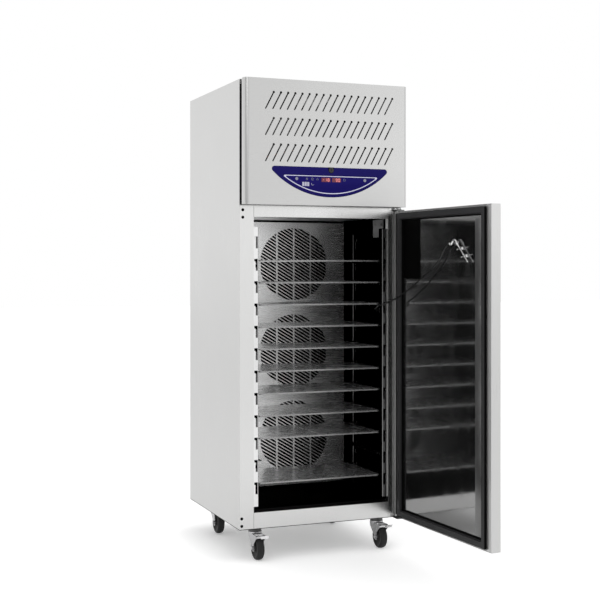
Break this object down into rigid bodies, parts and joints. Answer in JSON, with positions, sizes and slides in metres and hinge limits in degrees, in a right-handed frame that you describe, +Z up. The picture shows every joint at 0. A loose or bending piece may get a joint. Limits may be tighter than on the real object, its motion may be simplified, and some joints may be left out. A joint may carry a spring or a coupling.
{
  "type": "blast chiller",
  "caption": "Upright reach-in blast chiller on castors with a hinged insulated door, slide-in shelves, a pierced fan panel, a louvred unit panel with controls and a corded food probe.",
  "frame": {"origin": "on the floor under the middle of the cabinet's footprint", "axes": "+Z up, -Y towards the front where the door is, +X to the viewer's right of someone facing the front"},
  "size_m": [0.7985, 1.4853, 2.016],
  "materials": {
    "case_sheet": "brushed stainless sheet",
    "face_sheet": "brushed stainless sheet",
    "inner_sheet": "bright stainless sheet",
    "shelf_sheet": "polished stainless sheet",
    "insulation": "rigid foam",
    "dark_frame": "dark satin",
    "blue_bezel": "satin moulded plastic",
    "control_film": "printed film",
    "box_plastic": "moulded plastic",
    "lock_black": "black",
    "key_pale": "moulded plastic",
    "shell_black": "black enamel",
    "fin_metal": "plain fins",
    "motor_metal": "dark enamel",
    "fan_plastic": "moulded plastic",
    "pipe_metal": "drawn tube, copper coloured",
    "box_grey": "grey enamel",
    "rack_metal": "stainless channel",
    "zinc": "bright zinc",
    "gland_black": "moulded plastic",
    "tyre": "dark solid tyre on its core",
    "seal": "soft grey seal",
    "probe_metal": "polished",
    "cable_rubber": "flexible black lead"
  },
  "bodies": {
    "cabinet": {"outer_case": "case_sheet", "inner_liner": "inner_sheet", "cabinet_foam": "insulation", "front_frame": "face_sheet", "base_pan": "case_sheet", "unit_frame": "dark_frame", "roof_panel": "case_sheet", "unit_panel": "face_sheet", "control_bezel": "blue_bezel", "control_panel": "control_film", "controller_box": "box_plastic", "compressor": "shell_black", "condenser_coil": "fin_metal", "condenser_fan_motor": "motor_metal", "refrigerant_pipes": "pipe_metal", "electrical_box": "box_grey", "air_panel": "inner_sheet", "evaporator_coil": "fin_metal", "evaporator_motors": "motor_metal", "drip_tray": "inner_sheet", "rack_uprights": "rack_metal", "shelf_runners": "rack_metal", "hinge_brackets": "zinc", "cable_gland": "gland_black", "castor_plates": "zinc", "probe_cable": "cable_rubber"},
    "door": {"door_skin": "face_sheet", "door_foam": "insulation", "door_liner": "inner_sheet", "door_gasket": "seal", "door_pull": "face_sheet", "probe_clips": "probe_metal", "food_probe": "probe_metal"},
    "panel_lock": {"panel_lock": "lock_black"},
    "start_key": {"start_key": "key_pale"},
    "stop_key": {"stop_key": "key_pale"},
    "condenser_fan": {"condenser_fan": "fan_plastic"},
    "evaporator_fan_top": {"evaporator_fan_top": "fan_plastic"},
    "evaporator_fan_middle": {"evaporator_fan_middle": "fan_plastic"},
    "evaporator_fan_bottom": {"evaporator_fan_bottom": "fan_plastic"},
    "shelf_01": {"shelf_01": "shelf_sheet"},
    "shelf_02": {"shelf_02": "shelf_sheet"},
    "shelf_03": {"shelf_03": "shelf_sheet"},
    "shelf_04": {"shelf_04": "shelf_sheet"},
    "shelf_05": {"shelf_05": "shelf_sheet"},
    "shelf_06": {"shelf_06": "shelf_sheet"},
    "shelf_07": {"shelf_07": "shelf_sheet"},
    "shelf_08": {"shelf_08": "shelf_sheet"},
    "shelf_09": {"shelf_09": "shelf_sheet"},
    "shelf_10": {"shelf_10": "shelf_sheet"},
    "castor_fork_front_left": {"castor_fork_front_left": "zinc"},
    "castor_fork_front_right": {"castor_fork_front_right": "zinc"},
    "castor_fork_rear_left": {"castor_fork_rear_left": "zinc"},
    "castor_fork_rear_right": {"castor_fork_rear_right": "zinc"},
    "castor_wheel_front_left": {"castor_wheel_front_left": "tyre"},
    "castor_wheel_front_right": {"castor_wheel_front_right": "tyre"},
    "castor_wheel_rear_left": {"castor_wheel_rear_left": "tyre"},
    "castor_wheel_rear_right": {"castor_wheel_rear_right": "tyre"},
    "brake_pedal_left": {"brake_pedal_left": "zinc"},
    "brake_pedal_right": {"brake_pedal_right": "zinc"}
  },
  "joints": [
    {"name": "door_hinge", "type": "hinge", "parent": "cabinet", "child": "door", "pos_m": [0.356, -0.384, 0.808], "axis": [0, 0, 1], "range_deg": [-93, 7], "deforming": ["probe_cable"]},
    {"name": "shelf_01_slide", "type": "slide", "parent": "cabinet", "child": "shelf_01", "axis": [0, -1, 0], "range_m": [0, 0.3]},
    {"name": "shelf_02_slide", "type": "slide", "parent": "cabinet", "child": "shelf_02", "axis": [0, -1, 0], "range_m": [0, 0.3]},
    {"name": "shelf_03_slide", "type": "slide", "parent": "cabinet", "child": "shelf_03", "axis": [0, -1, 0], "range_m": [0, 0.3]},
    {"name": "shelf_04_slide", "type": "slide", "parent": "cabinet", "child": "shelf_04", "axis": [0, -1, 0], "range_m": [0, 0.3]},
    {"name": "shelf_05_slide", "type": "slide", "parent": "cabinet", "child": "shelf_05", "axis": [0, -1, 0], "range_m": [0, 0.3]},
    {"name": "shelf_06_slide", "type": "slide", "parent": "cabinet", "child": "shelf_06", "axis": [0, -1, 0], "range_m": [0, 0.3]},
    {"name": "shelf_07_slide", "type": "slide", "parent": "cabinet", "child": "shelf_07", "axis": [0, -1, 0], "range_m": [0, 0.3]},
    {"name": "shelf_08_slide", "type": "slide", "parent": "cabinet", "child": "shelf_08", "axis": [0, -1, 0], "range_m": [0, 0.3]},
    {"name": "shelf_09_slide", "type": "slide", "parent": "cabinet", "child": "shelf_09", "axis": [0, -1, 0], "range_m": [0, 0.3]},
    {"name": "shelf_10_slide", "type": "slide", "parent": "cabinet", "child": "shelf_10", "axis": [0, -1, 0], "range_m": [0, 0.3]},
    {"name": "castor_swivel_front_left", "type": "hinge", "parent": "cabinet", "child": "castor_fork_front_left", "pos_m": [-0.285, -0.297, 0.12], "axis": [0, 0, 1], "continuous": true},
    {"name": "castor_roll_front_left", "type": "hinge", "parent": "castor_fork_front_left", "child": "castor_wheel_front_left", "pos_m": [-0.285, -0.333, 0.05], "axis": [1, 0, 0], "continuous": true},
    {"name": "castor_swivel_front_right", "type": "hinge", "parent": "cabinet", "child": "castor_fork_front_right", "pos_m": [0.285, -0.297, 0.12], "axis": [0, 0, 1], "continuous": true},
    {"name": "castor_roll_front_right", "type": "hinge", "parent": "castor_fork_front_right", "child": "castor_wheel_front_right", "pos_m": [0.285, -0.333, 0.05], "axis": [1, 0, 0], "continuous": true},
    {"name": "castor_swivel_rear_left", "type": "hinge", "parent": "cabinet", "child": "castor_fork_rear_left", "pos_m": [-0.285, 0.238, 0.12], "axis": [0, 0, 1], "continuous": true},
    {"name": "castor_roll_rear_left", "type": "hinge", "parent": "castor_fork_rear_left", "child": "castor_wheel_rear_left", "pos_m": [-0.285, 0.202, 0.05], "axis": [1, 0, 0], "continuous": true},
    {"name": "castor_swivel_rear_right", "type": "hinge", "parent": "cabinet", "child": "castor_fork_rear_right", "pos_m": [0.285, 0.238, 0.12], "axis": [0, 0, 1], "continuous": true},
    {"name": "castor_roll_rear_right", "type": "hinge", "parent": "castor_fork_rear_right", "child": "castor_wheel_rear_right", "pos_m": [0.285, 0.202, 0.05], "axis": [1, 0, 0], "continuous": true},
    {"name": "brake_press_left", "type": "hinge", "parent": "castor_fork_front_left", "child": "brake_pedal_left", "pos_m": [-0.285, -0.363, 0.1], "axis": [1, 0, 0], "range_deg": [0, 15]},
    {"name": "brake_press_right", "type": "hinge", "parent": "castor_fork_front_right", "child": "brake_pedal_right", "pos_m": [0.285, -0.363, 0.1], "axis": [1, 0, 0], "range_deg": [0, 15]},
    {"name": "fan_spin_top", "type": "hinge", "parent": "cabinet", "child": "evaporator_fan_top", "pos_m": [0.055, 0.137, 1.245], "axis": [0, 1, 0], "continuous": true},
    {"name": "fan_spin_middle", "type": "hinge", "parent": "cabinet", "child": "evaporator_fan_middle", "pos_m": [0.055, 0.137, 0.843], "axis": [0, 1, 0], "continuous": true},
    {"name": "fan_spin_bottom", "type": "hinge", "parent": "cabinet", "child": "evaporator_fan_bottom", "pos_m": [0.055, 0.137, 0.441], "axis": [0, 1, 0], "continuous": true},
    {"name": "condenser_fan_spin", "type": "hinge", "parent": "cabinet", "child": "condenser_fan", "pos_m": [0.135, -0.225, 1.705], "axis": [0, 1, 0], "continuous": true},
    {"name": "lock_turn", "type": "hinge", "parent": "cabinet", "child": "panel_lock", "pos_m": [0.01, -0.42, 1.642], "axis": [0, 1, 0], "range_deg": [0, 90]},
    {"name": "start_key_press", "type": "slide", "parent": "cabinet", "child": "start_key", "axis": [0, 1, 0], "range_m": [0, 0.0008], "stiffness_N_per_m": 800, "springref_m": -0.0005},
    {"name": "stop_key_press", "type": "slide", "parent": "cabinet", "child": "stop_key", "axis": [0, 1, 0], "range_m": [0, 0.0008], "stiffness_N_per_m": 800, "springref_m": -0.0005}
  ]
}
